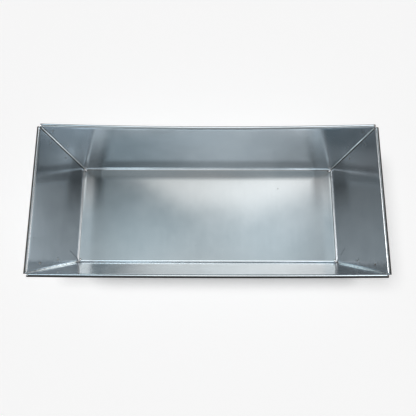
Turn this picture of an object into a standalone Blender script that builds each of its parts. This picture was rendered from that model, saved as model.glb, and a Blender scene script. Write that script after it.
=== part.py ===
"""Flat-bottomed roller tray folded from galvanised sheet, with wired edges, riveted corners and solder seams.

The frame has +X along the tray, +Y across it and +Z up. The origin is the centre of the underside.
"""

import math

import bmesh
import bpy
from mathutils import Matrix, Vector

# Driving dimensions, in metres. The floor and the walls are measured on the inside of the sheet.
FLOOR_LENGTH = 0.3547
FLOOR_WIDTH = 0.1328
RIM_HEIGHT = 0.1063
WALL_LEAN = math.radians(9.85)
SHEET = 0.0007
CLEARANCE = 0.0003

# Folds and rolled edges.
FOLD_RADIUS = 0.0030
FOLD_STEPS = 6
CORNER_RELIEF = 0.0011
BEAD_RADIUS = 0.0021
BEAD_SWEEP = math.radians(298.0)
BEAD_STEPS = 18
WIRE_RADIUS = BEAD_RADIUS - SHEET - CLEARANCE
WIRE_SETBACK = 0.0010

# Corner tabs, turned off the long walls and lying behind the end walls.
TAB_FOLD_RADIUS = 0.0007
TAB_FOLD_STEPS = 5
TAB_LENGTH = 0.0160
TAB_FOOT = 0.0060
TAB_HEAD = 0.0080
TAB_CHAMFER = 0.0060
EDGE_GAP = 0.0007

# Rivets through the end walls and the tabs.
RIVET_HEIGHTS = (0.455, 0.79)
RIVET_SETBACK = 0.0085
RIVET_HEAD_RADIUS = 0.0014
RIVET_HEAD = 0.0004
RIVET_SHANK_RADIUS = 0.0008
RIVET_STEPS = 20

# Solder seams along the inside corners.
SEAM_LEG = 0.0019
SEAM_EDGE = 0.0002
SEAM_ARC_STEPS = 4
SEAM_FOOT = 0.0036
SEAM_HEAD = 0.0012

# Sizes that follow from the ones above.
SLOPE = math.tan(WALL_LEAN)
HALF_LENGTH = FLOOR_LENGTH / 2
HALF_WIDTH = FLOOR_WIDTH / 2
FOLD_ANGLE = math.pi / 2 - WALL_LEAN
FOLD_SETBACK = FOLD_RADIUS * math.tan(FOLD_ANGLE / 2)
TAB_OFFSET = SHEET + CLEARANCE
RIVET_GRIP = SHEET + TAB_OFFSET

COLLECTION = "roller_tray"
CUTTERS = "roller_tray_cutters"

STEEL = ("galvanised_steel", (0.56, 0.60, 0.63), 0.32, 1.0)
WIRE_STEEL = ("rim_wire_steel", (0.42, 0.43, 0.44), 0.40, 1.0)
RIVET_STEEL = ("rivet_steel", (0.40, 0.36, 0.33), 0.45, 1.0)
SOLDER = ("solder", (0.66, 0.68, 0.69), 0.35, 1.0)


def clear_scene():
    for obj in list(bpy.data.objects):
        bpy.data.objects.remove(obj, do_unlink=True)


def new_collection(name):
    collection = bpy.data.collections.new(name)
    bpy.context.scene.collection.children.link(collection)
    return collection


def new_material(name, color, roughness, metallic):
    material = bpy.data.materials.new(name)
    material.use_nodes = True
    shader = material.node_tree.nodes["Principled BSDF"]
    shader.inputs["Base Color"].default_value = (*color, 1.0)
    shader.inputs["Roughness"].default_value = roughness
    shader.inputs["Metallic"].default_value = metallic
    return material


def add_object(name, data, collection, material=None):
    obj = bpy.data.objects.new(name, data)
    collection.objects.link(obj)
    if material:
        data.materials.append(material)
    return obj


def crease_point(height, offset=0.0):
    """The inside corner of the +X, +Y corner at a height above the floor, or that of an end wall moved outwards."""
    return Vector(
        (
            HALF_LENGTH + height * SLOPE + offset / math.cos(WALL_LEAN),
            HALF_WIDTH + height * SLOPE,
            height + SHEET,
        )
    )


CREASE = Vector((SLOPE, SLOPE, 1.0)).normalized()
END_INWARD = Vector((-math.cos(WALL_LEAN), 0.0, math.sin(WALL_LEAN)))
LONG_INWARD = Vector((0.0, -math.cos(WALL_LEAN), math.sin(WALL_LEAN)))
ALONG_END = CREASE.cross(END_INWARD).normalized()
ALONG_LONG = LONG_INWARD.cross(CREASE).normalized()
CORNER_ANGLE = ALONG_END.angle(ALONG_LONG)
TAB_TANGENT = TAB_FOLD_RADIUS / math.tan(CORNER_ANGLE / 2)


def mirrored(point, side_x, side_y):
    return Vector((point.x * side_x, point.y * side_y, point.z))


def corners():
    """Each corner's name and the side of the tray that it is on."""
    for end, side_x in (("left", -1), ("right", 1)):
        for face, side_y in (("front", -1), ("back", 1)):
            yield f"{face}_{end}", side_x, side_y


def wall_profile():
    """The inside of a wall as (outward, height) from where the floor's fold begins, up to the end of its roll."""
    fold = []
    for step in range(1, FOLD_STEPS + 1):
        angle = FOLD_ANGLE * step / FOLD_STEPS
        fold.append((FOLD_RADIUS * math.sin(angle), FOLD_RADIUS * (1 - math.cos(angle))))
    plain = [(FOLD_SETBACK + height * SLOPE, height) for height in (TAB_FOOT, RIM_HEIGHT - TAB_HEAD, RIM_HEIGHT)]
    foot_out, foot_height = plain[-1]
    axis_out = foot_out + BEAD_RADIUS * math.cos(WALL_LEAN)
    axis_height = foot_height - BEAD_RADIUS * math.sin(WALL_LEAN)
    roll = []
    for step in range(1, BEAD_STEPS + 1):
        angle = math.pi - WALL_LEAN - BEAD_SWEEP * step / BEAD_STEPS
        roll.append((axis_out + BEAD_RADIUS * math.cos(angle), axis_height + BEAD_RADIUS * math.sin(angle)))
    return fold, plain, roll


def bead_axis():
    """Where the centre of a rolled edge lies, outward from the foot of the roll and above the underside."""
    outward = RIM_HEIGHT * SLOPE + BEAD_RADIUS * math.cos(WALL_LEAN)
    return outward, RIM_HEIGHT - BEAD_RADIUS * math.sin(WALL_LEAN) + SHEET


def long_wall_half(height):
    """Half the length of a long wall at a height: it runs on past the crease, to where the tab's fold begins."""
    tangent = crease_point(height, TAB_OFFSET) + ALONG_LONG * TAB_TANGENT
    return tangent.x


def end_wall_half(height):
    """Half the width of an end wall at a height: its cut edge stops short of the long wall."""
    return HALF_WIDTH + height * SLOPE - EDGE_GAP / math.cos(WALL_LEAN)


def extrude_edge(bm, edge, places):
    """Extrudes an edge and puts each new end where places says, by the end that it came from."""
    made = bmesh.ops.extrude_edge_only(bm, edges=[edge])["geom"]
    fresh = [item for item in made if isinstance(item, bmesh.types.BMVert)]
    for vert in fresh:
        source = next(other for e in vert.link_edges for other in [e.other_vert(vert)] if other not in fresh)
        vert.co = places[source]
    return next(item for item in made if isinstance(item, bmesh.types.BMEdge) and set(item.verts) == set(fresh))


def raise_wall(bm, edge, start_half, half_at, place):
    """Raises a wall from a floor edge, and returns the two edges between which its corner tabs are turned off."""
    fold, plain, roll = wall_profile()
    fold_height = fold[-1][1]
    fold_out = fold[-1][0]
    rows = []
    for out, height in fold:
        rows.append((out, height, start_half + (half_at(fold_height) - start_half) * out / fold_out))
    for out, height in plain:
        rows.append((out, height, half_at(height)))
    for out, height in roll:
        rows.append((out, height, half_at(RIM_HEIGHT)))
    edges = []
    for out, height, half in rows:
        ends = {vert: place(out, height, math.copysign(half, side_of(vert, edge))) for vert in edge.verts}
        edge = extrude_edge(bm, edge, ends)
        edges.append(edge)
    return edges[FOLD_STEPS], edges[FOLD_STEPS + 1]


def side_of(vert, edge):
    """Which way along its edge a vertex lies: the sign of its offset from the edge's middle."""
    offset = vert.co - (edge.verts[0].co + edge.verts[1].co) / 2
    return offset.x + offset.y


def side_edge(lower, upper, side_x):
    """The edge that joins two rows of a long wall at one end."""
    foot = max(lower.verts, key=lambda vert: vert.co.x * side_x)
    head = max(upper.verts, key=lambda vert: vert.co.x * side_x)
    return next(edge for edge in foot.link_edges if edge.other_vert(foot) == head)


def turn_tab(bm, edge, side_x, side_y):
    """Turns a corner tab off a long wall's edge, round the crease and along the back of the end wall."""
    bisector = (ALONG_END + ALONG_LONG).normalized()
    to_centre = bisector * (TAB_FOLD_RADIUS / math.sin(CORNER_ANGLE / 2))
    first = (ALONG_LONG * TAB_TANGENT - to_centre).normalized()
    last = (ALONG_END * TAB_TANGENT - to_centre).normalized()
    steps = []
    for step in range(1, TAB_FOLD_STEPS + 1):
        around = first.slerp(last, step / TAB_FOLD_STEPS)
        steps.append((to_centre + around * TAB_FOLD_RADIUS, 0.0))
    steps.append((ALONG_END * (TAB_LENGTH - TAB_CHAMFER), 0.0))
    steps.append((ALONG_END * TAB_LENGTH, TAB_CHAMFER))
    for offset, chamfer in steps:
        low = min(edge.verts, key=lambda vert: vert.co.z)
        places = {}
        for vert in edge.verts:
            height = TAB_FOOT + chamfer if vert == low else RIM_HEIGHT - TAB_HEAD - chamfer
            places[vert] = mirrored(crease_point(height, TAB_OFFSET) + offset, side_x, side_y)
        edge = extrude_edge(bm, edge, places)


def fold_blank(bm):
    """Folds the open inner surface of the tray: a floor with clipped corners, four walls and four corner tabs."""
    half_x = HALF_LENGTH - FOLD_SETBACK
    half_y = HALF_WIDTH - FOLD_SETBACK
    bmesh.ops.create_grid(bm, x_segments=1, y_segments=1, size=1.0)
    bmesh.ops.scale(bm, vec=(half_x, half_y, 1.0), verts=bm.verts)
    bmesh.ops.translate(bm, vec=(0.0, 0.0, SHEET), verts=bm.verts)
    bmesh.ops.bevel(bm, geom=list(bm.verts), offset=CORNER_RELIEF, segments=1, affect="VERTICES")
    floor_edges = [edge for edge in bm.edges if edge.calc_length() > 2 * CORNER_RELIEF]
    for edge in floor_edges:
        middle = (edge.verts[0].co + edge.verts[1].co) / 2
        if abs(middle.y) > abs(middle.x):
            side = math.copysign(1, middle.y)
            lower, upper = raise_wall(
                bm,
                edge,
                half_x - CORNER_RELIEF,
                long_wall_half,
                lambda out, height, half, side=side: Vector((half, side * (half_y + out), height + SHEET)),
            )
            for side_x in (-1, 1):
                turn_tab(bm, side_edge(lower, upper, side_x), side_x, side)
        else:
            side = math.copysign(1, middle.x)
            raise_wall(
                bm,
                edge,
                half_y - CORNER_RELIEF,
                end_wall_half,
                lambda out, height, half, side=side: Vector((side * (half_x + out), half, height + SHEET)),
            )


def rivet_places():
    """Each rivet's name, the point on the inside of the end wall that it passes, and its axis into the tray."""
    for corner, side_x, side_y in corners():
        for level, share in zip(("lower", "upper"), RIVET_HEIGHTS):
            point = crease_point(RIM_HEIGHT * share) + ALONG_END * RIVET_SETBACK
            yield f"{corner}_{level}_rivet", mirrored(point, side_x, side_y), mirrored(END_INWARD, side_x, side_y)


def aim(point, axis):
    """A placement at a point with local +Z along an axis."""
    return Matrix.Translation(point) @ axis.to_track_quat("Z", "Y").to_matrix().to_4x4()


def make_rivet_holes(collection):
    for name, point, axis in rivet_places():
        bm = bmesh.new()
        radius = RIVET_SHANK_RADIUS + CLEARANCE
        depth = 4 * RIVET_GRIP
        bmesh.ops.create_cone(
            bm, cap_ends=True, segments=RIVET_STEPS, radius1=radius, radius2=radius, depth=depth
        )
        mesh = bpy.data.meshes.new(f"{name}_hole")
        bm.to_mesh(mesh)
        bm.free()
        hole = add_object(f"{name}_hole", mesh, collection)
        hole.matrix_world = aim(point, axis)
        hole.hide_render = True
        hole.display_type = "WIRE"


def make_tray_sheet(collection, cutters):
    bm = bmesh.new()
    fold_blank(bm)
    bmesh.ops.recalc_face_normals(bm, faces=bm.faces)
    floor = max(bm.faces, key=lambda face: face.calc_area() * abs(face.normal.z))
    if floor.normal.z < 0:
        bmesh.ops.reverse_faces(bm, faces=bm.faces)
    mesh = bpy.data.meshes.new("tray_sheet")
    bm.to_mesh(mesh)
    bm.free()
    tray = add_object("tray_sheet", mesh, collection, new_material(*STEEL))
    thickness = tray.modifiers.new("sheet_thickness", "SOLIDIFY")
    thickness.thickness = SHEET
    thickness.offset = -1.0
    thickness.use_even_offset = True
    holes = tray.modifiers.new("rivet_holes", "BOOLEAN")
    holes.operation = "DIFFERENCE"
    holes.operand_type = "COLLECTION"
    holes.collection = cutters
    holes.solver = "EXACT"


def make_rim_wires(collection):
    material = new_material(*WIRE_STEEL)
    outward, height = bead_axis()
    long_half = long_wall_half(RIM_HEIGHT) - WIRE_SETBACK
    end_half = end_wall_half(RIM_HEIGHT) - WIRE_SETBACK
    wires = (
        ("front_rim_wire", (0.0, -HALF_WIDTH - outward, height), 0.0, long_half),
        ("back_rim_wire", (0.0, HALF_WIDTH + outward, height), 0.0, long_half),
        ("left_rim_wire", (-HALF_LENGTH - outward, 0.0, height), math.pi / 2, end_half),
        ("right_rim_wire", (HALF_LENGTH + outward, 0.0, height), math.pi / 2, end_half),
    )
    for name, location, turn, half in wires:
        curve = bpy.data.curves.new(name, "CURVE")
        curve.dimensions = "3D"
        curve.bevel_depth = WIRE_RADIUS
        curve.bevel_resolution = 4
        curve.use_fill_caps = True
        spline = curve.splines.new("POLY")
        spline.points.add(1)
        spline.points[0].co = (-half, 0.0, 0.0, 1.0)
        spline.points[1].co = (half, 0.0, 0.0, 1.0)
        wire = add_object(name, curve, collection, material)
        wire.location = location
        wire.rotation_euler = (0.0, 0.0, turn)


def rivet_mesh():
    """A turned rivet with a low domed head above its local origin and a flat tail below the tab."""
    top = CLEARANCE + RIVET_HEAD
    bottom = -RIVET_GRIP - CLEARANCE - RIVET_HEAD
    outline = (
        (0.0, top),
        (RIVET_HEAD_RADIUS * 0.6, top - RIVET_HEAD * 0.15),
        (RIVET_HEAD_RADIUS * 0.9, top - RIVET_HEAD * 0.5),
        (RIVET_HEAD_RADIUS, CLEARANCE),
        (RIVET_SHANK_RADIUS, CLEARANCE),
        (RIVET_SHANK_RADIUS, bottom + RIVET_HEAD),
        (RIVET_HEAD_RADIUS, bottom + RIVET_HEAD),
        (RIVET_HEAD_RADIUS * 0.9, bottom),
        (0.0, bottom),
    )
    bm = bmesh.new()
    verts = [bm.verts.new((radius, 0.0, height)) for radius, height in outline]
    for first, second in zip(verts, verts[1:]):
        bm.edges.new((first, second))
    mesh = bpy.data.meshes.new("corner_rivet")
    bm.to_mesh(mesh)
    bm.free()
    return mesh


def make_rivets(collection):
    mesh = rivet_mesh()
    mesh.materials.append(new_material(*RIVET_STEEL))
    for name, point, axis in rivet_places():
        rivet = add_object(name, mesh, collection)
        rivet.matrix_world = aim(point, axis)
        turned = rivet.modifiers.new("turned", "SCREW")
        turned.steps = RIVET_STEPS
        turned.render_steps = RIVET_STEPS
        turned.use_merge_vertices = True
        turned.merge_threshold = 1e-5


def seam_outline():
    """The seam's section: legs along the two walls, and a hollow face between them."""
    reach = SEAM_LEG - CLEARANCE - SEAM_EDGE
    points = [(CLEARANCE, CLEARANCE), (SEAM_LEG, CLEARANCE)]
    for step in range(SEAM_ARC_STEPS + 1):
        angle = math.pi / 2 * step / SEAM_ARC_STEPS
        points.append((SEAM_LEG - reach * math.sin(angle), SEAM_LEG - reach * math.cos(angle)))
    points.append((CLEARANCE, SEAM_LEG))
    return points


def make_seams(collection):
    material = new_material(*SOLDER)
    foot = crease_point(SEAM_FOOT)
    head = crease_point(RIM_HEIGHT - SEAM_HEAD)
    for name, side_x, side_y in corners():
        curve = bpy.data.curves.new(f"{name}_seam", "CURVE")
        curve.dimensions = "2D"
        curve.fill_mode = "BOTH"
        curve.extrude = (head - foot).length / 2
        outline = seam_outline()
        spline = curve.splines.new("POLY")
        spline.use_cyclic_u = True
        spline.points.add(len(outline) - 1)
        for point, (along_long, along_end) in zip(spline.points, outline):
            point.co = (along_long, along_end, 0.0, 1.0)
        seam = add_object(f"{name}_seam", curve, collection, material)
        frame = Matrix.Identity(4)
        frame.col[0] = (*mirrored(ALONG_LONG, side_x, side_y), 0.0)
        frame.col[1] = (*mirrored(ALONG_END, side_x, side_y), 0.0)
        frame.col[2] = (*mirrored(CREASE, side_x, side_y), 0.0)
        frame.col[3] = (*mirrored((foot + head) / 2, side_x, side_y), 1.0)
        seam.matrix_world = frame


def main():
    clear_scene()
    parts = new_collection(COLLECTION)
    cutters = new_collection(CUTTERS)
    make_rivet_holes(cutters)
    make_tray_sheet(parts, cutters)
    make_rim_wires(parts)
    make_rivets(parts)
    make_seams(parts)


main()
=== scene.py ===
"""Looks for a flat-bottomed roller tray folded from galvanised sheet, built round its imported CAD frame."""

import math

import bmesh
import bpy
import numpy as np
from mathutils import Matrix, Vector, noise

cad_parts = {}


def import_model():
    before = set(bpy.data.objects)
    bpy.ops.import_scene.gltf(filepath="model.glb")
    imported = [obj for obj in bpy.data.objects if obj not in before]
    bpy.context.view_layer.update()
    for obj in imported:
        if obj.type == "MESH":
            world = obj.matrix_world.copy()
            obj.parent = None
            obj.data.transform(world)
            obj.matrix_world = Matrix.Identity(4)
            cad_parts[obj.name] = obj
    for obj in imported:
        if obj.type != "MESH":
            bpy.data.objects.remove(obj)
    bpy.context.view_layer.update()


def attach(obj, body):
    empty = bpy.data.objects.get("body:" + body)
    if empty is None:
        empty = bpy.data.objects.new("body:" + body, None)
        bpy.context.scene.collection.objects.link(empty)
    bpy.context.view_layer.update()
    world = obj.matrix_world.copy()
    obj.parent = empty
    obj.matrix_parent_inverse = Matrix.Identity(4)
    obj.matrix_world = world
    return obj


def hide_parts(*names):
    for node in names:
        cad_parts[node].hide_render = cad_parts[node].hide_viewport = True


# Sizes in metres, as in the CAD part. Only these differ: the fine meshes keep small trims and gaps of their
# own, the wires end nearer to the ends of their beads, and the solder starts nearer to the floor.
FLOOR_LENGTH = 0.3547
FLOOR_WIDTH = 0.1328
RIM_HEIGHT = 0.1063
WALL_LEAN = math.radians(9.85)
SHEET = 0.0007
CLEARANCE = 0.0003
FOLD_RADIUS = 0.0030
CORNER_RELIEF = 0.0011
BEAD_RADIUS = 0.0021
BEAD_SWEEP = math.radians(298.0)
WIRE_RADIUS = BEAD_RADIUS - SHEET - CLEARANCE
WIRE_SETBACK = 0.0004
TAB_FOLD_RADIUS = 0.0007
TAB_LENGTH = 0.0160
TAB_FOOT = 0.0060
TAB_HEAD = 0.0080
TAB_CHAMFER = 0.0060
EDGE_GAP = 0.0007
BEAD_GAP = 0.0001
BEAD_TRIM = 0.000005
SHEET_TRIM = 0.000001
RIVET_HEIGHTS = (0.455, 0.79)
RIVET_SETBACK = 0.0085
RIVET_HEAD_RADIUS = 0.0014
RIVET_HEAD = 0.0004
RIVET_SHANK_RADIUS = 0.0008
RIVET_DOME = 0.00010
RIVET_TAPER = 0.9
RIVET_GAP = 0.00002
SEAM_LEG = 0.0019
SEAM_HEAD = 0.0012
SEAM_START = 0.0004
SEAM_ROOT = 0.0001
SEAM_LIFT = 0.00002
SEAM_FILL = 0.88
SEAM_WANDER = 0.16
SEAM_WANDER_SIZE = 0.007
SEAM_SEEDS = (1.7, 6.1)
SEAM_SEED_STEP = 10.0

# How finely the looks are meshed.
LONG_COLUMNS = 120
END_COLUMNS = 48
WALL_ROWS = 30
FOLD_STEPS = 12
BEAD_STEPS = 36
TAB_FOLD_STEPS = 6
WIRE_STATIONS = 49
WIRE_SIDES = 20
WIRE_DOME = ((0.35, 0.0), (0.8, 0.15), (1.0, 0.36))
RIVET_DOME_STEPS = 6
RIVET_SIDES = 32
SEAM_STATIONS = 90
SEAM_ARC_STEPS = 8
FOOT_ROWS = 2
HEAD_ROWS = 3
EVEN_SPREAD = 0.8
MERGE_DISTANCE = 0.000001

# Sizes that follow from the ones above.
SLOPE = math.tan(WALL_LEAN)
HALF_LENGTH = FLOOR_LENGTH / 2
HALF_WIDTH = FLOOR_WIDTH / 2
FOLD_ANGLE = math.pi / 2 - WALL_LEAN
FOLD_SETBACK = FOLD_RADIUS * math.tan(FOLD_ANGLE / 2)
TAB_OFFSET = SHEET + CLEARANCE
RIVET_GRIP = SHEET + TAB_OFFSET
CREASE = Vector((SLOPE, SLOPE, 1.0)).normalized()
END_INWARD = Vector((-math.cos(WALL_LEAN), 0.0, math.sin(WALL_LEAN)))
LONG_INWARD = Vector((0.0, -math.cos(WALL_LEAN), math.sin(WALL_LEAN)))
ALONG_END = CREASE.cross(END_INWARD).normalized()
ALONG_LONG = LONG_INWARD.cross(CREASE).normalized()
CORNER_ANGLE = ALONG_END.angle(ALONG_LONG)
TAB_TANGENT = TAB_FOLD_RADIUS / math.tan(CORNER_ANGLE / 2)

# Rows of a wall's grid: where its corner tabs start and end, and the foot of its rolled edge.
TAB_LOW_ROW = FOLD_STEPS + FOOT_ROWS
TAB_HIGH_ROW = TAB_LOW_ROW + WALL_ROWS
RIM_ROW = TAB_HIGH_ROW + HEAD_ROWS

# How far the sheet departs from flat, in metres, with the size, gain and seeds of its ripples. A bow grows
# with height to the power BOW_RISE.
BACK_BOW = 0.0030
FRONT_BOW = 0.0008
WALL_RIPPLE = 0.00016
FLOOR_RIPPLE = 0.00010
RIPPLE_SIZE = 0.075
RIPPLE_GAIN = 1.6
LONG_SEED = 3.0
END_SEED = 8.0
FLOOR_SEED = 20.0
BOW_RISE = 1.5

# The bright sheet, as texture sizes per metre, shares of the tone, and colours from dark to light.
CLOUD_SCALE = 26.0
STREAK_SCALES = (650.0, 14.0, 14.0)
GRAIN_SCALE = 1500.0
CLOUD_SHARE = 0.42
STREAK_SHARE = 0.12
GRAIN_SHARE = 0.46
ZINC_TONES = ((0.30, (0.69, 0.72, 0.745)), (0.50, (0.775, 0.805, 0.83)), (0.70, (0.86, 0.885, 0.91)))
SHEET_ROUGHNESS = 0.08
CLOUD_ROUGHNESS = 0.07
GRAIN_ROUGHNESS = 0.05
PAINTED_DARK_ROUGHNESS = 0.20
ROLL_ROUGHNESS = 0.08
STREAK_BUMP = 0.6
SHEET_BUMP = (0.000012, 0.25)

# The wires, rivets and solder: texture sizes per metre, the clouding's share of the tone, and each
# one's darkest and lightest colour and roughness.
STEEL_CLOUD_SCALE = 260.0
STEEL_GRAIN_SCALE = 1800.0
STEEL_CLOUD_SHARE = 0.7
STEEL_CLOUD_ROUGHNESS = 0.1
STEEL_TONE_RANGE = (0.35, 0.65)
STEEL_BUMP = (0.00003, 0.4)
WIRE_FINISH = ((0.36, 0.37, 0.38), (0.48, 0.49, 0.50), 0.40)
RIVET_FINISH = ((0.46, 0.42, 0.38), (0.66, 0.67, 0.68), 0.30)
SOLDER_FINISH = ((0.84, 0.82, 0.79), (1.00, 0.98, 0.95), 0.24)

# The painted dark reflection on the outside of each wall's rolled edge: its colour, where it starts round
# the roll of each wall (front -1, back 1, ends 0) in degrees outward from the top, and how strong it is.
PAINTED_DARK_COLOR = (0.10, 0.095, 0.09)
ROLL_PAINTED_DARK = {-1: (3.0, 1.0), 0: (-12.0, 1.0), 1: (15.0, 0.2)}
ROLL_PAINTED_DARK_EDGE = 12.0

# The painted shade on the front and back solder: dark across the middle of the front fillets and along the
# end-wall side of the back ones, as places round the fillet from the long wall (0) to the end wall (1) and
# how strong it is there.
SEAM_PAINTED_DARK = {
    -1: ((0.00, 0.2), (0.12, 1.0), (0.38, 1.0), (0.50, 0.0)),
    1: ((0.00, 0.0), (0.60, 0.0), (0.80, 0.9), (1.00, 0.9)),
}

# Painted darkening inside: painted shade on the floor along the end folds and the back fold, where the
# walls' reflections in the floor fall dark, and a darker middle of the front wall. Each edge is where it
# starts and where it is at its full strength, in metres from the middle of the tray or up from the floor.
DARKENING_COLOR = (0.16, 0.165, 0.17)
DARKENING_TOP = (0.0015, 0.0005)
DARKENING_FACING = (0.0, 0.3)
END_FOLD_SHADE = 0.62
END_FOLD_SHADE_LEFT = 0.80
END_FOLD_SHADE_TURN = 0.10
END_FOLD_SHADE_INNER = (0.145, 0.154)
END_FOLD_SHADE_OUTER = (0.1755, 0.1725)
END_FOLD_SHADE_FRONT = (0.0, 0.052)
BACK_FOLD_SHADE = 0.46
BACK_FOLD_SHADE_LEFT = 0.60
BACK_FOLD_SHADE_TURN = (-0.15, -0.02)
BACK_FOLD_SHADE_INNER = (0.0490, 0.0550)
BACK_FOLD_SHADE_OUTER = (0.0650, 0.0635)
FRONT_DARKENING = 0.25
FRONT_DARKENING_LEFT = (-0.125, -0.105)
FRONT_DARKENING_RIGHT = (0.165, 0.135)
FRONT_DARKENING_FOOT = (-0.0670, -0.0690)

# Specks and marks. A mark on an end wall (left -1, right 1) is placed by its y and its height off the floor.
PIT_COLOR = (0.10, 0.085, 0.075)
PIT_CELLS = 55.0
PIT_SHARE = 0.22
PIT_RADIUS = 0.00055
PIT_CORE = 0.3
PIT_FULL = 0.6
PIT_STRENGTH = 0.75
MARK_CORE = 0.35
FLOOR_SPOT = ((0.100, 0.0375, SHEET), 0.0009, 0.9)
END_SPOTS = (
    ((-1, -0.064, 0.050), 0.0011, 0.8),
    ((1, -0.065, 0.053), 0.0011, 0.8),
    ((-1, 0.072, 0.085), 0.0012, 0.7),
    ((-1, 0.074, 0.043), 0.0010, 0.8),
    ((-1, -0.036, 0.032), 0.0010, 0.7),
    ((-1, -0.045, 0.100), 0.0010, 0.6),
    ((1, -0.019, 0.060), 0.0010, 0.7),
    ((1, 0.010, 0.003), 0.0010, 0.7),
)
SCRATCHES = (((-1, -0.053, 0.023), (-1, -0.062, 0.003)), ((1, -0.049, 0.023), (1, -0.057, 0.012)))
SCRATCH_RADIUS = 0.0006
SCRATCH_STRENGTH = 0.7
RUST_COLOR = (0.26, 0.15, 0.09)
RUST = (((-1, -0.072, 0.084), 0.0014), ((1, -0.073, 0.086), 0.0012))

# The studio. The soft box's place and size are over a height of 1.
BOX_PLACE = (0.07, 0.59)
BOX_RADIUS = 0.40
BOX_EDGE = 0.02
BOX_COLOR = (0.61, 0.57, 0.53)
HORIZON = 0.02
GROUND_COLOR = (0.22, 0.23, 0.24)

# The soft lamps that the metal mirrors: azimuth from +X, elevation and spread in degrees, brightness, tint.
NEUTRAL = (1.0, 1.0, 1.0)
COOL = (0.9, 1.0, 1.05)
BLUE = (0.7, 1.0, 1.15)
WARM = (1.3, 1.0, 0.8)
LAMPS = (
    (0, 18, 9, 0.6, WARM),
    (3, 34, 9, 1.0, COOL),
    (3, 57, 6, 0.27, COOL),
    (25, 80, 8, 0.4, BLUE),
    (47, 71, 8, 0.33, NEUTRAL),
    (56, 41, 9, 3.6, COOL),
    (90, 28, 8, 1.05, COOL),
    (90, 56, 8, 1.1, BLUE),
    (96, 44, 9, 0.9, WARM),
    (116, 44, 8, 2.1, BLUE),
    (137, 28, 9, 1.2, NEUTRAL),
    (165, 79, 8, 0.43, BLUE),
    (176, 45, 9, 0.32, COOL),
    (178, 57, 6, 0.15, COOL),
    (180, 9, 9, 7.0, NEUTRAL),
    (185, 73, 9, 0.07, WARM),
    (212, 35, 10, 0.2, NEUTRAL),
    (241, 28, 9, 1.4, COOL),
    (255, 42, 8, 0.36, BLUE),
    (270, 80, 12, 0.3, WARM),
    (276, 50, 9, 0.62, COOL),
    (304, 30, 9, 1.55, COOL),
)

# The key lamps, each from a direction, with a power and a width in degrees.
KEYS = (("key_above", (0.0, 0.05, 1.0), 0.98, 12.0), ("key_left", (-0.5, 0.05, 1.0), 1.50, 16.0))

# The pale floor and the backdrop that it sweeps up into.
FLOOR_REACH = 6.0
FLOOR_SIDES = 96
FLOOR_LEVEL = -0.0001
FLOOR_GREY = 0.8
FLOOR_GLOW = 0.33
SWEEP_RADIUS = 1.5
SWEEP_STEPS = 12
BACKDROP_HEIGHT = 5.0

CAMERA_PLACE = (0.0007, -0.0924, 0.5201)
CAMERA_TILT = 11.08
CAMERA_ROLL = 0.15
CAMERA_LENS = 32.452
CAMERA_SENSOR = 36.0


def crease_point(height, offset=0.0):
    """The inside of the +X, +Y corner at a height above the floor, or that of an end wall moved outwards."""
    return Vector(
        (
            HALF_LENGTH + height * SLOPE + offset / math.cos(WALL_LEAN),
            HALF_WIDTH + height * SLOPE,
            height + SHEET,
        )
    )


def on_end_wall(side_x, y, height):
    """A point on the inside of an end wall."""
    return Vector((side_x * (HALF_LENGTH + height * SLOPE), y, height + SHEET))


def mirrored(point, side_x, side_y):
    return Vector((point.x * side_x, point.y * side_y, point.z))


def long_wall_half(height):
    return (crease_point(height, TAB_OFFSET) + ALONG_LONG * TAB_TANGENT).x


def end_wall_half(height):
    return HALF_WIDTH + height * SLOPE - EDGE_GAP / math.cos(WALL_LEAN)


def bead_half(side_y):
    """Half the length of a rolled edge. Those of the end walls run up against the long ones."""
    if side_y:
        return long_wall_half(RIM_HEIGHT)
    return HALF_WIDTH + RIM_HEIGHT * SLOPE - BEAD_GAP


def wall_profile():
    """The inside of a wall as rows of (outward, height), from the floor's fold to the end of the roll."""
    rows = []
    for step in range(FOLD_STEPS + 1):
        angle = FOLD_ANGLE * step / FOLD_STEPS
        rows.append((FOLD_RADIUS * math.sin(angle), FOLD_RADIUS * (1 - math.cos(angle))))
    top = rows[-1][1]
    stops = [TAB_FOOT, RIM_HEIGHT - TAB_HEAD, RIM_HEIGHT]
    counts = [FOOT_ROWS, WALL_ROWS, HEAD_ROWS]
    start = top
    for stop, count in zip(stops, counts):
        for step in range(1, count + 1):
            height = start + (stop - start) * step / count
            rows.append((FOLD_SETBACK + height * SLOPE, height))
        start = stop
    foot_out, foot_height = rows[-1]
    axis_out = foot_out + BEAD_RADIUS * math.cos(WALL_LEAN)
    axis_height = foot_height - BEAD_RADIUS * math.sin(WALL_LEAN)
    for step in range(1, BEAD_STEPS + 1):
        angle = math.pi - WALL_LEAN - BEAD_SWEEP * step / BEAD_STEPS
        reach = BEAD_RADIUS - BEAD_TRIM
        rows.append((axis_out + reach * math.cos(angle), axis_height + reach * math.sin(angle)))
    return rows


def spread(count):
    """Places from -1 to 1, closer together towards the ends."""
    even = np.linspace(-1.0, 1.0, count + 1)
    return EVEN_SPREAD * even + (1 - EVEN_SPREAD) * np.sin(even * math.pi / 2)


def add_grid(bm, rows, **finishes):
    """Adds a grid of quads over rows of points. A finish gives each row's amount, from 0 to 1."""
    verts = [[bm.verts.new(point) for point in row] for row in rows]
    for name, amounts in finishes.items():
        layer = bm.verts.layers.float[name]
        for row, amount in zip(verts, amounts):
            for vert in row:
                vert[layer] = amount
    for low, high in zip(verts, verts[1:]):
        for a, b, c, d in zip(low, low[1:], high[1:], high):
            bm.faces.new((a, b, c, d))


def ripple(x, y, seed):
    """Gentle unevenness from -1 to 1 over the sheet."""
    return noise.noise(Vector((x / RIPPLE_SIZE, y / RIPPLE_SIZE, seed))) * RIPPLE_GAIN


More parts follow.
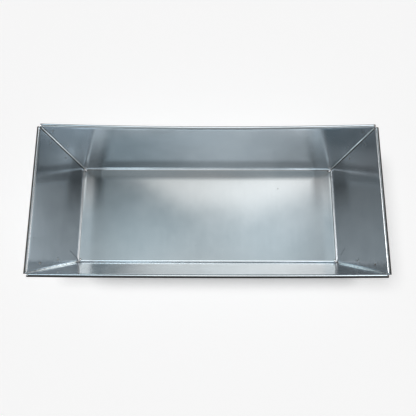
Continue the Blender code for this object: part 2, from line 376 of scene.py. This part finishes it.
def wall_shift(share, height, side_y=0, side_x=0):
    """How far a wall's point moves outward, from where it is along the wall (-1 to 1) and its height."""
    up = min(height / RIM_HEIGHT, 1.0)
    middle = 1 - share * share
    flat = middle * math.sin(math.pi * up)
    if side_y:
        bow = BACK_BOW * middle if side_y > 0 else FRONT_BOW * share * share
        uneven = WALL_RIPPLE * ripple(share * HALF_LENGTH, height, LONG_SEED + side_y) * flat
        return uneven - bow * up**BOW_RISE
    return WALL_RIPPLE * ripple(share * HALF_WIDTH, height, END_SEED + side_x) * flat


def wall_rows(side_x, side_y):
    half_x = HALF_LENGTH - FOLD_SETBACK
    half_y = HALF_WIDTH - FOLD_SETBACK
    half_at = long_wall_half if side_y else end_wall_half
    start_half = (half_x if side_y else half_y) - CORNER_RELIEF
    profile = wall_profile()
    fold_out, fold_height = profile[FOLD_STEPS]
    shares = spread(LONG_COLUMNS if side_y else END_COLUMNS)
    rows = []
    for index, (out, height) in enumerate(profile):
        if index <= FOLD_STEPS:
            half = start_half + (half_at(fold_height) - start_half) * out / fold_out
        else:
            half = half_at(height) if index < RIM_ROW else bead_half(side_y)
        level = height if index <= RIM_ROW else RIM_HEIGHT
        row = []
        for share in shares:
            moved = out + wall_shift(share, level, side_y, side_x)
            if side_y:
                row.append(Vector((half * share, side_y * (half_y + moved), height + SHEET)))
            else:
                row.append(Vector((side_x * (half_x + moved), half * share, height + SHEET)))
        rows.append(row)
    return rows


def roll_dulled(side_y):
    """How much painted dark reflection each row of a wall gets: the outside of its rolled edge is darkened
    in colour.
    """
    start, strength = ROLL_PAINTED_DARK[side_y]
    amounts = []
    for index in range(RIM_ROW + BEAD_STEPS + 1):
        turned = (index - RIM_ROW) / BEAD_STEPS * BEAD_SWEEP - (math.pi / 2 - WALL_LEAN)
        share = (turned - math.radians(start)) / math.radians(ROLL_PAINTED_DARK_EDGE)
        amounts.append(strength * min(max(share + 0.5, 0.0), 1.0))
    return amounts


def rolled_rows():
    """1 for each row of a wall that is on its rolled edge."""
    return [float(index > RIM_ROW) for index in range(RIM_ROW + BEAD_STEPS + 1)]


def tab_rows(wall, side_x, side_y):
    """A corner tab, turned off a long wall's end round the crease and along the back of the end wall."""
    bisector = (ALONG_END + ALONG_LONG).normalized()
    to_centre = bisector * (TAB_FOLD_RADIUS / math.sin(CORNER_ANGLE / 2))
    first = (ALONG_LONG * TAB_TANGENT - to_centre).normalized()
    last = (ALONG_END * TAB_TANGENT - to_centre).normalized()
    steps = []
    for step in range(1, TAB_FOLD_STEPS + 1):
        around = first.slerp(last, step / TAB_FOLD_STEPS)
        steps.append((to_centre + around * TAB_FOLD_RADIUS, 0.0))
    steps.append((ALONG_END * (TAB_LENGTH - TAB_CHAMFER), 0.0))
    steps.append((ALONG_END * TAB_LENGTH, TAB_CHAMFER))
    column = -1 if side_x > 0 else 0
    rows = []
    for index in range(TAB_LOW_ROW, TAB_HIGH_ROW + 1):
        share = (index - TAB_LOW_ROW) / WALL_ROWS
        row = [wall[index][column]]
        for offset, chamfer in steps:
            low = TAB_FOOT + chamfer
            high = RIM_HEIGHT - TAB_HEAD - chamfer
            height = low + (high - low) * share
            row.append(mirrored(crease_point(height, TAB_OFFSET) + offset, side_x, side_y))
        rows.append(row)
    return rows


def floor_rows():
    half_x = HALF_LENGTH - FOLD_SETBACK
    half_y = HALF_WIDTH - FOLD_SETBACK
    xs = [-half_x] + list(spread(LONG_COLUMNS) * (half_x - CORNER_RELIEF)) + [half_x]
    ys = [-half_y] + list(spread(END_COLUMNS) * (half_y - CORNER_RELIEF)) + [half_y]
    return xs, ys


def add_floor(bm):
    xs, ys = floor_rows()
    half_x, half_y = xs[-1], ys[-1]
    verts = {}
    for i, x in enumerate(xs):
        for j, y in enumerate(ys):
            corner = i in (0, len(xs) - 1) and j in (0, len(ys) - 1)
            if not corner:
                rise = max(0.0, (1 - (x / half_x) ** 2) * (1 - (y / half_y) ** 2))
                z = SHEET + FLOOR_RIPPLE * (1.0 + ripple(x, y, FLOOR_SEED)) * rise
                verts[i, j] = bm.verts.new((x, y, z))
    for i in range(len(xs) - 1):
        for j in range(len(ys) - 1):
            ring = [(i, j), (i + 1, j), (i + 1, j + 1), (i, j + 1)]
            face = [verts[key] for key in ring if key in verts]
            bm.faces.new(face)


def smooth(mesh):
    mesh.polygons.foreach_set("use_smooth", [True] * len(mesh.polygons))


def add_piece(name, mesh, material, slot, *nodes):
    piece = bpy.data.objects.new(name, mesh)
    bpy.context.scene.collection.objects.link(piece)
    mesh.materials.append(material)
    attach(piece, "root")
    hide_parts(*nodes)
    return piece


def make_sheet(material):
    bm = bmesh.new()
    bm.verts.layers.float.new("dulled")
    bm.verts.layers.float.new("rolled")
    add_floor(bm)
    for side_y in (-1, 1):
        wall = wall_rows(0, side_y)
        # The outside of the rolled edge gets a painted dark reflection.
        add_grid(bm, wall, dulled=roll_dulled(side_y), rolled=rolled_rows())
        for side_x in (-1, 1):
            add_grid(bm, tab_rows(wall, side_x, side_y))
    for side_x in (-1, 1):
        add_grid(bm, wall_rows(side_x, 0), dulled=roll_dulled(0), rolled=rolled_rows())
    bmesh.ops.remove_doubles(bm, verts=bm.verts, dist=MERGE_DISTANCE)
    bmesh.ops.recalc_face_normals(bm, faces=bm.faces)
    bm.faces.ensure_lookup_table()
    floor = min(bm.faces, key=lambda face: face.calc_center_median().length)
    if floor.normal.z < 0:
        bmesh.ops.reverse_faces(bm, faces=bm.faces)
    mesh = bpy.data.meshes.new("folded_sheet")
    bm.to_mesh(mesh)
    bm.free()
    smooth(mesh)
    sheet = add_piece("folded_sheet", mesh, material, "galvanised_steel", "tray_sheet")
    thickness = sheet.modifiers.new("thickness", "SOLIDIFY")
    thickness.thickness = SHEET - SHEET_TRIM
    thickness.offset = -1.0
    thickness.use_even_offset = True
    thickness.use_quality_normals = True
    return sheet


def bead_axis(share, side_x, side_y):
    """A point on the centre line of a rolled edge, from -1 to 1 along it."""
    outward = RIM_HEIGHT * SLOPE + BEAD_RADIUS * math.cos(WALL_LEAN)
    height = RIM_HEIGHT - BEAD_RADIUS * math.sin(WALL_LEAN) + SHEET
    outward += wall_shift(share, RIM_HEIGHT, side_y, side_x)
    if side_y:
        return Vector((share * (bead_half(side_y) - WIRE_SETBACK), side_y * (HALF_WIDTH + outward), height))
    return Vector((side_x * (HALF_LENGTH + outward), share * (bead_half(side_y) - WIRE_SETBACK), height))


def make_tube(name, points, radius, material, slot, node):
    """A round bar through points, with slightly domed ends."""
    bm = bmesh.new()
    rings = []
    along = (points[-1] - points[0]).normalized()
    up = Vector((0.0, 0.0, 1.0))
    across = along.cross(up).normalized()
    stations = [(points[0] + along * radius * lift, radius * wide) for wide, lift in WIRE_DOME]
    stations += [(point, radius) for point in points[1:-1]]
    stations += [(points[-1] - along * radius * lift, radius * wide) for wide, lift in reversed(WIRE_DOME)]
    for centre, reach in stations:
        ring = []
        for side in range(WIRE_SIDES):
            angle = 2 * math.pi * side / WIRE_SIDES
            ring.append(bm.verts.new(centre + (across * math.cos(angle) + up * math.sin(angle)) * reach))
        rings.append(ring)
    for low, high in zip(rings, rings[1:]):
        for index in range(WIRE_SIDES):
            after = (index + 1) % WIRE_SIDES
            bm.faces.new((low[index], low[after], high[after], high[index]))
    bm.faces.new(list(reversed(rings[0])))
    bm.faces.new(rings[-1])
    bmesh.ops.recalc_face_normals(bm, faces=bm.faces)
    mesh = bpy.data.meshes.new(name)
    bm.to_mesh(mesh)
    bm.free()
    smooth(mesh)
    return add_piece(name, mesh, material, slot, node)


def make_wires(material):
    for name, side_x, side_y in (("front", 0, -1), ("back", 0, 1), ("left", -1, 0), ("right", 1, 0)):
        points = [bead_axis(share, side_x, side_y) for share in np.linspace(-1.0, 1.0, WIRE_STATIONS)]
        make_tube(f"{name}_wire", points, WIRE_RADIUS, material, "rim_wire_steel", f"{name}_rim_wire")


def corners():
    for end, side_x in (("left", -1), ("right", 1)):
        for face, side_y in (("front", -1), ("back", 1)):
            yield f"{face}_{end}", side_x, side_y


def rivet_outline():
    """Half of a set rivet's outline as (radius, height above the inside of the end wall)."""
    outline = []
    for step in range(RIVET_DOME_STEPS + 1):
        angle = math.pi / 2 * step / RIVET_DOME_STEPS
        outline.append((RIVET_HEAD_RADIUS * math.sin(angle), RIVET_GAP + RIVET_DOME * math.cos(angle)))
    outline.append((RIVET_SHANK_RADIUS, RIVET_GAP))
    outline.append((RIVET_SHANK_RADIUS, -RIVET_GRIP - RIVET_GAP))
    outline.append((RIVET_HEAD_RADIUS, -RIVET_GRIP - RIVET_GAP))
    outline.append((RIVET_HEAD_RADIUS * RIVET_TAPER, -RIVET_GRIP - RIVET_HEAD))
    outline.append((0.0, -RIVET_GRIP - RIVET_HEAD))
    return outline


def rivet_point(share, side_x, side_y):
    return mirrored(crease_point(RIM_HEIGHT * share) + ALONG_END * RIVET_SETBACK, side_x, side_y)


def make_rivets(material):
    for corner, side_x, side_y in corners():
        axis = mirrored(END_INWARD, side_x, side_y)
        for level, share in zip(("lower", "upper"), RIVET_HEIGHTS):
            bm = bmesh.new()
            verts = [bm.verts.new((radius, 0.0, height)) for radius, height in rivet_outline()]
            edges = [bm.edges.new(pair) for pair in zip(verts, verts[1:])]
            bmesh.ops.spin(
                bm,
                geom=verts + edges,
                cent=(0.0, 0.0, 0.0),
                axis=(0.0, 0.0, 1.0),
                angle=2 * math.pi,
                steps=RIVET_SIDES,
                use_merge=True,
            )
            bmesh.ops.remove_doubles(bm, verts=bm.verts, dist=MERGE_DISTANCE)
            bmesh.ops.recalc_face_normals(bm, faces=bm.faces)
            turn = axis.to_track_quat("Z", "Y").to_matrix().to_4x4()
            place = Matrix.Translation(rivet_point(share, side_x, side_y)) @ turn
            bmesh.ops.transform(bm, matrix=place, verts=bm.verts)
            name = f"{corner}_{level}"
            mesh = bpy.data.meshes.new(f"{name}_rivet_head")
            bm.to_mesh(mesh)
            bm.free()
            smooth(mesh)
            add_piece(f"{name}_rivet_head", mesh, material, "rivet_steel", f"{name}_rivet")


def seam_leg(height, seed):
    """How far the solder reaches over a wall, which wanders along the seam."""
    wander = noise.noise(Vector((height / SEAM_WANDER_SIZE, seed, 0.0)))
    return SEAM_LEG * (SEAM_FILL + SEAM_WANDER * wander)


def make_seams(material):
    """Solder run into the inside corners, as a hollow fillet."""
    for index, (corner, side_x, side_y) in enumerate(corners()):
        rows = []
        for step in range(SEAM_STATIONS + 1):
            height = SEAM_START + (RIM_HEIGHT - SEAM_HEAD - SEAM_START) * step / SEAM_STATIONS
            base = crease_point(height)
            leg_long, leg_end = (seam_leg(height, SEAM_SEED_STEP * index + seed) for seed in SEAM_SEEDS)
            row = [base - (ALONG_LONG + ALONG_END) * SEAM_ROOT]
            for turn in range(SEAM_ARC_STEPS + 1):
                angle = math.pi / 2 * turn / SEAM_ARC_STEPS
                along_long = leg_long * (1 - math.sin(angle)) + SEAM_LIFT
                along_end = leg_end * (1 - math.cos(angle)) + SEAM_LIFT
                row.append(base + ALONG_LONG * along_long + ALONG_END * along_end)
            row.append(row[0])
            rows.append([mirrored(point, side_x, side_y) for point in row])
        bm = bmesh.new()
        bm.verts.layers.float.new("dulled")
        # Painted shade round the fillet: dark across the middle at the front, along the end wall at the
        # back.
        places, strengths = zip(*SEAM_PAINTED_DARK[side_y])
        dulled = list(np.interp(np.linspace(0.0, 1.0, SEAM_ARC_STEPS + 1), places, strengths))
        add_grid(bm, list(zip(*rows)), dulled=[0.0, *dulled, 0.0])
        bmesh.ops.remove_doubles(bm, verts=bm.verts, dist=MERGE_DISTANCE)
        edges = [edge for edge in bm.edges if len(edge.link_faces) == 1]
        bmesh.ops.holes_fill(bm, edges=edges, sides=0)
        bmesh.ops.recalc_face_normals(bm, faces=bm.faces)
        mesh = bpy.data.meshes.new(f"{corner}_solder")
        bm.to_mesh(mesh)
        bm.free()
        smooth(mesh)
        add_piece(f"{corner}_solder", mesh, material, "solder", f"{corner}_seam")


class Nodes:
    """A short way to write a node tree."""

    def __init__(self, tree):
        self.tree = tree

    def add(self, kind, **settings):
        node = self.tree.nodes.new(kind)
        for name, value in settings.items():
            setattr(node, name, value)
        return node

    def link(self, out, socket):
        self.tree.links.new(out, socket)

    def math(self, operation, *values):
        node = self.add("ShaderNodeMath", operation=operation)
        for socket, value in zip(node.inputs, values):
            if isinstance(value, (int, float)):
                socket.default_value = value
            else:
                self.link(value, socket)
        return node.outputs[0]

    def map_range(self, value, low, high, to_low=0.0, to_high=1.0):
        node = self.add("ShaderNodeMapRange", clamp=True)
        self.link(value, node.inputs["Value"])
        limits = {"From Min": low, "From Max": high, "To Min": to_low, "To Max": to_high}
        for name, number in limits.items():
            node.inputs[name].default_value = number
        return node.outputs["Result"]

    def attribute(self, name):
        return self.add("ShaderNodeAttribute", attribute_name=name).outputs["Fac"]

    def product(self, first, *others):
        for value in others:
            first = self.math("MULTIPLY", first, value)
        return first

    def weighted(self, *pairs):
        """The sum of values times their weights."""
        total = self.math("MULTIPLY", *pairs[0])
        for value, weight in pairs[1:]:
            total = self.math("ADD", total, self.math("MULTIPLY", value, weight))
        return total

    def split(self, vector):
        node = self.add("ShaderNodeSeparateXYZ")
        self.link(vector, node.inputs[0])
        return node.outputs

    def vector(self, operation, a, b):
        node = self.add("ShaderNodeVectorMath", operation=operation)
        self.link(a, node.inputs[0])
        self.link(b, node.inputs[1])
        return node.outputs["Vector"]

    def scaled(self, vector, factor):
        node = self.add("ShaderNodeVectorMath", operation="SCALE")
        node.inputs[0].default_value = vector
        self.link(factor, node.inputs["Scale"])
        return node.outputs["Vector"]

    def mixed(self, factor, under, over):
        node = self.add("ShaderNodeMix", data_type="RGBA")
        self.link(factor, node.inputs["Factor"])
        self.link(under, node.inputs["A"])
        if isinstance(over, tuple):
            node.inputs["B"].default_value = (*over, 1.0)
        else:
            self.link(over, node.inputs["B"])
        return node.outputs["Result"]

    def ramp(self, value, *stops):
        node = self.add("ShaderNodeValToRGB")
        elements = node.color_ramp.elements
        for place, _ in stops[2:]:
            elements.new(place)
        for element, (place, color) in zip(elements, stops):
            element.position = place
            element.color = (*color, 1.0)
        self.link(value, node.inputs[0])
        return node.outputs[0]


def noise_value(n, place, scale, detail, stretch=(1.0, 1.0, 1.0)):
    mapping = n.add("ShaderNodeMapping")
    mapping.inputs["Scale"].default_value = stretch
    n.link(place, mapping.inputs["Vector"])
    texture = n.add("ShaderNodeTexNoise")
    texture.inputs["Scale"].default_value = scale
    texture.inputs["Detail"].default_value = detail
    n.link(mapping.outputs["Vector"], texture.inputs["Vector"])
    return texture.outputs["Fac"]


def start_metal(name):
    material = bpy.data.materials.new(name)
    material.use_nodes = True
    n = Nodes(material.node_tree)
    shader = material.node_tree.nodes["Principled BSDF"]
    shader.inputs["Metallic"].default_value = 1.0
    place = n.add("ShaderNodeTexCoord").outputs["Object"]
    return material, n, shader, place


def add_bump(n, shader, height, distance, strength):
    bump = n.add("ShaderNodeBump")
    bump.inputs["Strength"].default_value = strength
    bump.inputs["Distance"].default_value = distance
    n.link(height, bump.inputs["Height"])
    n.link(bump.outputs["Normal"], shader.inputs["Normal"])


def near_point(n, place, point, radius):
    """1 at a point on the sheet, falling to 0 at a radius."""
    away = n.add("ShaderNodeVectorMath", operation="DISTANCE")
    n.link(place, away.inputs[0])
    away.inputs[1].default_value = point
    return n.map_range(away.outputs["Value"], radius, radius * MARK_CORE)


def near_line(n, place, start, end, radius):
    """1 along a line on the sheet, falling to 0 at a radius."""
    start, end = Vector(start), Vector(end)
    along = (end - start).normalized()
    offset = n.add("ShaderNodeVectorMath", operation="SUBTRACT")
    n.link(place, offset.inputs[0])
    offset.inputs[1].default_value = start
    reach = n.add("ShaderNodeVectorMath", operation="DOT_PRODUCT")
    n.link(offset.outputs["Vector"], reach.inputs[0])
    reach.inputs[1].default_value = along
    held = n.math("MINIMUM", n.math("MAXIMUM", reach.outputs["Value"], 0.0), (end - start).length)
    away = n.add("ShaderNodeVectorMath", operation="DISTANCE")
    n.link(offset.outputs["Vector"], away.inputs[0])
    n.link(n.scaled(along, held), away.inputs[1])
    return n.map_range(away.outputs["Value"], radius, radius * MARK_CORE)


def pits(n, place):
    """Small dark specks, one in a few cells of a coarse pattern."""
    cells = n.add("ShaderNodeTexVoronoi")
    cells.inputs["Scale"].default_value = PIT_CELLS
    n.link(place, cells.inputs["Vector"])
    size = n.add("ShaderNodeSeparateColor")
    n.link(cells.outputs["Color"], size.inputs[0])
    chosen = n.map_range(size.outputs[0], PIT_SHARE, PIT_SHARE * PIT_FULL)
    reach = PIT_RADIUS * PIT_CELLS
    small = n.map_range(cells.outputs["Distance"], reach, reach * PIT_CORE)
    return n.product(chosen, small)


def painted_darkening(n, place):
    """How much the inside is darkened in colour, from 0 to 1: painted shade on the floor along the folds,
    and a darker front wall.
    """
    x, y, z = n.split(place)
    facing = n.split(n.add("ShaderNodeTexCoord").outputs["Normal"])
    low, high = DARKENING_TOP
    on_floor = n.product(n.map_range(z, SHEET + low, SHEET + high), n.map_range(facing[2], *DARKENING_FACING))
    from_middle = n.math("ABSOLUTE", x)
    ends = n.product(
        n.map_range(from_middle, *END_FOLD_SHADE_INNER),
        n.map_range(from_middle, *END_FOLD_SHADE_OUTER),
        n.map_range(y, *END_FOLD_SHADE_FRONT),
        n.map_range(x, -END_FOLD_SHADE_TURN, END_FOLD_SHADE_TURN, END_FOLD_SHADE_LEFT, END_FOLD_SHADE),
    )
    back = n.product(
        n.map_range(y, *BACK_FOLD_SHADE_INNER),
        n.map_range(y, *BACK_FOLD_SHADE_OUTER),
        n.map_range(x, *BACK_FOLD_SHADE_TURN, BACK_FOLD_SHADE_LEFT, BACK_FOLD_SHADE),
    )
    front = n.product(
        n.map_range(x, *FRONT_DARKENING_LEFT),
        n.map_range(x, *FRONT_DARKENING_RIGHT),
        n.map_range(y, *FRONT_DARKENING_FOOT, 0.0, FRONT_DARKENING),
        n.map_range(facing[1], *DARKENING_FACING),
    )
    return n.math("MAXIMUM", n.product(n.math("MAXIMUM", ends, back), on_floor), front)


def add_marks(n, place, color):
    """Specks, spots, scratches and rust over a colour."""
    color = n.mixed(n.product(pits(n, place), PIT_STRENGTH), color, PIT_COLOR)
    on_walls = [(on_end_wall(*where), radius, strength) for where, radius, strength in END_SPOTS]
    for point, radius, strength in [FLOOR_SPOT, *on_walls]:
        color = n.mixed(n.product(near_point(n, place, point, radius), strength), color, PIT_COLOR)
    for start, end in SCRATCHES:
        scratch = near_line(n, place, on_end_wall(*start), on_end_wall(*end), SCRATCH_RADIUS)
        color = n.mixed(n.product(scratch, SCRATCH_STRENGTH), color, PIT_COLOR)
    for where, radius in RUST:
        color = n.mixed(near_point(n, place, on_end_wall(*where), radius), color, RUST_COLOR)
    return color


def galvanised_material():
    """Bright galvanised sheet: clouding, faint rolling streaks, a fine grain, painted shade inside, a
    painted dark reflection on the rolled edges, and marks.
    """
    material, n, shader, place = start_metal("galvanised")
    cloud = noise_value(n, place, CLOUD_SCALE, detail=4.0)
    streak = noise_value(n, place, 1.0, detail=3.0, stretch=STREAK_SCALES)
    grain = noise_value(n, place, GRAIN_SCALE, detail=2.0)
    dulled = n.attribute("dulled")
    rolled = n.attribute("rolled")
    tone = n.weighted((cloud, CLOUD_SHARE), (streak, STREAK_SHARE), (grain, GRAIN_SHARE))
    # Painted shade: darker bands on the floor along the end and back folds, and a darker middle of the front
    # wall.
    color = n.mixed(painted_darkening(n, place), n.ramp(tone, *ZINC_TONES), DARKENING_COLOR)
    color = add_marks(n, place, color)
    # Painted dark reflection: the outsides of the rolled edges are darkened in colour.
    n.link(n.mixed(dulled, color, PAINTED_DARK_COLOR), shader.inputs["Base Color"])
    rough = n.weighted(
        (cloud, CLOUD_ROUGHNESS),
        (grain, GRAIN_ROUGHNESS),
        (dulled, PAINTED_DARK_ROUGHNESS),
        (rolled, ROLL_ROUGHNESS),
    )
    n.link(n.math("ADD", rough, SHEET_ROUGHNESS), shader.inputs["Roughness"])
    streak_bump = n.product(streak, n.math("SUBTRACT", 1.0, rolled), STREAK_BUMP)
    add_bump(n, shader, n.math("ADD", grain, streak_bump), *SHEET_BUMP)
    return material


def steel_material(name, dark, light, roughness):
    """Plain steel or solder with clouding and a fine grain, darkened by painted shade where its mesh asks
    for it.
    """
    material, n, shader, place = start_metal(name)
    cloud = noise_value(n, place, STEEL_CLOUD_SCALE, detail=4.0)
    grain = noise_value(n, place, STEEL_GRAIN_SCALE, detail=2.0)
    tone = n.weighted((cloud, STEEL_CLOUD_SHARE), (grain, 1.0 - STEEL_CLOUD_SHARE))
    low, high = STEEL_TONE_RANGE
    # Painted shade: the solder is darkened where its mesh asks for it.
    color = n.mixed(n.attribute("dulled"), n.ramp(tone, (low, dark), (high, light)), PAINTED_DARK_COLOR)
    n.link(color, shader.inputs["Base Color"])
    uneven = n.product(cloud, STEEL_CLOUD_ROUGHNESS)
    n.link(n.math("ADD", uneven, roughness - STEEL_CLOUD_ROUGHNESS / 2), shader.inputs["Roughness"])
    add_bump(n, shader, tone, *STEEL_BUMP)
    return material


def make_world():
    """The studio as the metal mirrors it: a large round soft box overhead and behind, and soft lamps."""
    world = bpy.data.worlds.new("studio")
    world.use_nodes = True
    bpy.context.scene.world = world
    tree = world.node_tree
    n = Nodes(tree)
    direction = n.add("ShaderNodeTexCoord").outputs["Generated"]
    x, y, z = n.split(direction)
    height = n.math("MAXIMUM", z, HORIZON)
    plan_x = n.math("SUBTRACT", n.math("DIVIDE", x, height), BOX_PLACE[0])
    plan_y = n.math("SUBTRACT", n.math("DIVIDE", y, height), BOX_PLACE[1])
    away = n.math("SQRT", n.weighted((plan_x, plan_x), (plan_y, plan_y)))
    inside = n.map_range(away, BOX_RADIUS + BOX_EDGE, BOX_RADIUS - BOX_EDGE)
    light = n.scaled(BOX_COLOR, inside)
    for azimuth, elevation, width, brightness, tint in LAMPS:
        turn, lift = math.radians(azimuth), math.radians(elevation)
        axis = (math.cos(lift) * math.cos(turn), math.cos(lift) * math.sin(turn), math.sin(lift))
        tightness = 1 / math.radians(width) ** 2
        facing = n.add("ShaderNodeVectorMath", operation="DOT_PRODUCT")
        n.link(direction, facing.inputs[0])
        facing.inputs[1].default_value = axis
        fall = n.product(n.math("SUBTRACT", facing.outputs["Value"], 1.0), tightness)
        lamp = n.scaled(Vector(tint) * brightness, n.math("EXPONENT", fall))
        light = n.vector("ADD", light, lamp)
    above = n.map_range(z, -HORIZON, HORIZON)
    light = n.vector("MULTIPLY", light, n.scaled((1.0, 1.0, 1.0), above))
    light = n.vector("ADD", light, n.scaled(GROUND_COLOR, n.math("SUBTRACT", 1.0, above)))
    n.link(light, tree.nodes["Background"].inputs["Color"])
    world.cycles_visibility.diffuse = False


def make_lights():
    """Two soft key lamps for the floor and its shadows. The metal doesn't mirror them."""
    for name, place, power, width in KEYS:
        data = bpy.data.lights.new(name, "SUN")
        data.energy = power
        data.angle = math.radians(width)
        key = bpy.data.objects.new(name, data)
        key.rotation_mode = "QUATERNION"
        key.rotation_quaternion = (-Vector(place)).to_track_quat("-Z", "Y")
        key.visible_glossy = False
        bpy.context.scene.collection.objects.link(key)


def make_floor():
    """A round pale floor that sweeps up into a backdrop."""
    bm = bmesh.new()
    outline = [(0.0, 0.0), (FLOOR_REACH - SWEEP_RADIUS, 0.0)]
    for step in range(1, SWEEP_STEPS + 1):
        angle = math.pi / 2 * step / SWEEP_STEPS
        across = FLOOR_REACH - SWEEP_RADIUS * (1 - math.sin(angle))
        outline.append((across, SWEEP_RADIUS * (1 - math.cos(angle))))
    outline.append((FLOOR_REACH, BACKDROP_HEIGHT))
    turns = [2 * math.pi * side / FLOOR_SIDES for side in range(FLOOR_SIDES + 1)]
    rings = [[(reach * math.cos(turn), reach * math.sin(turn), z) for turn in turns] for reach, z in outline]
    add_grid(bm, rings)
    bmesh.ops.remove_doubles(bm, verts=bm.verts, dist=MERGE_DISTANCE)
    mesh = bpy.data.meshes.new("studio_floor")
    bm.to_mesh(mesh)
    bm.free()
    smooth(mesh)
    floor = bpy.data.objects.new("studio_floor", mesh)
    bpy.context.scene.collection.objects.link(floor)
    floor.location.z = FLOOR_LEVEL
    material = bpy.data.materials.new("pale_floor")
    material.use_nodes = True
    shader = material.node_tree.nodes["Principled BSDF"]
    shader.inputs["Base Color"].default_value = (FLOOR_GREY, FLOOR_GREY, FLOOR_GREY, 1.0)
    shader.inputs["Roughness"].default_value = 1.0
    shader.inputs["Specular IOR Level"].default_value = 0.0
    shader.inputs["Emission Color"].default_value = (1.0, 1.0, 1.0, 1.0)
    shader.inputs["Emission Strength"].default_value = FLOOR_GLOW
    mesh.materials.append(material)
    floor.visible_glossy = False
    floor.visible_diffuse = False


def make_camera():
    data = bpy.data.cameras.new("camera")
    data.sensor_width = CAMERA_SENSOR
    data.lens = CAMERA_LENS
    camera = bpy.data.objects.new("camera", data)
    camera.location = CAMERA_PLACE
    camera.rotation_euler = (math.radians(CAMERA_TILT), 0.0, math.radians(CAMERA_ROLL))
    bpy.context.scene.collection.objects.link(camera)
    bpy.context.scene.camera = camera


def main():
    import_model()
    steel = galvanised_material()
    make_sheet(steel)
    make_wires(steel_material("wire", *WIRE_FINISH))
    make_rivets(steel_material("rivet", *RIVET_FINISH))
    make_seams(steel_material("solder", *SOLDER_FINISH))
    make_world()
    make_lights()
    make_floor()
    make_camera()
    bpy.context.scene.view_settings.view_transform = "Standard"


main()
